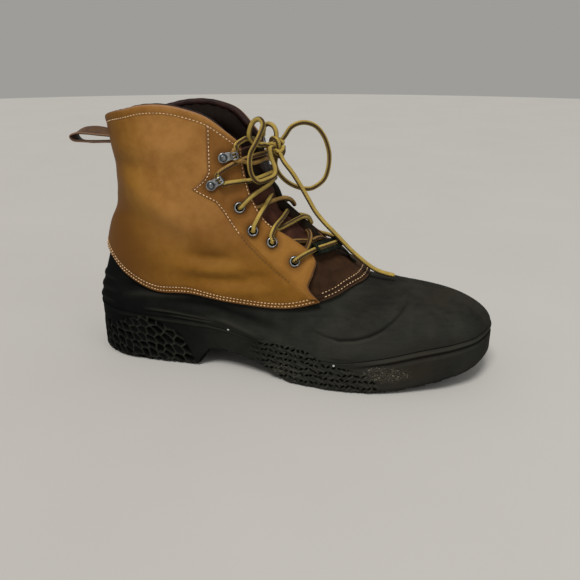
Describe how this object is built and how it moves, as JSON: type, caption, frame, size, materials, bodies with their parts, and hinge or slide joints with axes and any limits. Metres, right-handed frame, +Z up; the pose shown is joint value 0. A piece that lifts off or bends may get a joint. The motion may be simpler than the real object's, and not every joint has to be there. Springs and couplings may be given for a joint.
{
  "type": "steel toe boot",
  "caption": "Right-foot insulated work boot with a moulded rubber bottom, a leather shaft laced through eyelets and hooks, and a pull loop at the back.",
  "frame": {"origin": "on the floor, under the middle of the boot's bounding box", "axes": "+X towards the toe, +Y towards the inner side of the foot, +Z up"},
  "size_m": [0.3338, 0.1158, 0.2001],
  "materials": {
    "black_rubber": "matte moulded rubber with brownish dust, scuffs and a few dried mud smears",
    "tan_leather": "smooth oiled tan leather with soft creases and darker edges",
    "eyestay_leather": "tan leather, a little redder than the shaft, with cream stitching",
    "brown_leather": "dark reddish brown napped leather",
    "dark_edging": "dark brown woven lining with a rolled edge",
    "loop_leather": "brown leather strap with cut edges",
    "insole_felt": "grey felt",
    "pewter": "dull pewter-coloured metal",
    "yellow_lace": "round braided lace, golden yellow with dark brown flecks",
    "keeper_webbing": "dark green webbing"
  },
  "bodies": {
    "root": {"outsole": "black_rubber", "insole": "insole_felt", "rubber_shell": "black_rubber", "shaft": "tan_leather", "eyestay_lateral": "eyestay_leather", "eyestay_medial": "eyestay_leather", "vamp": "brown_leather", "tongue": "brown_leather", "collar_rim": "dark_edging", "pull_loop": "loop_leather", "eyelet_1_lateral": "pewter", "eyelet_1_medial": "pewter", "eyelet_2_lateral": "pewter", "eyelet_2_medial": "pewter", "eyelet_3_lateral": "pewter", "eyelet_3_medial": "pewter", "eyelet_4_lateral": "pewter", "eyelet_4_medial": "pewter", "hook_1_lateral": "pewter", "hook_1_medial": "pewter", "hook_2_lateral": "pewter", "hook_2_medial": "pewter", "lace_bar": "yellow_lace", "lace_crossing_1": "yellow_lace", "lace_crossing_2": "yellow_lace", "lace_crossing_3": "yellow_lace", "lace_crossing_4": "yellow_lace", "lace_crossing_5": "yellow_lace", "lace_end": "yellow_lace", "lace_keeper": "keeper_webbing", "lace_knot": "yellow_lace", "lace_loop_far": "yellow_lace", "lace_loop_near": "yellow_lace", "lace_tie_lateral": "yellow_lace", "lace_tie_medial": "yellow_lace"}
  },
  "joints": []
}
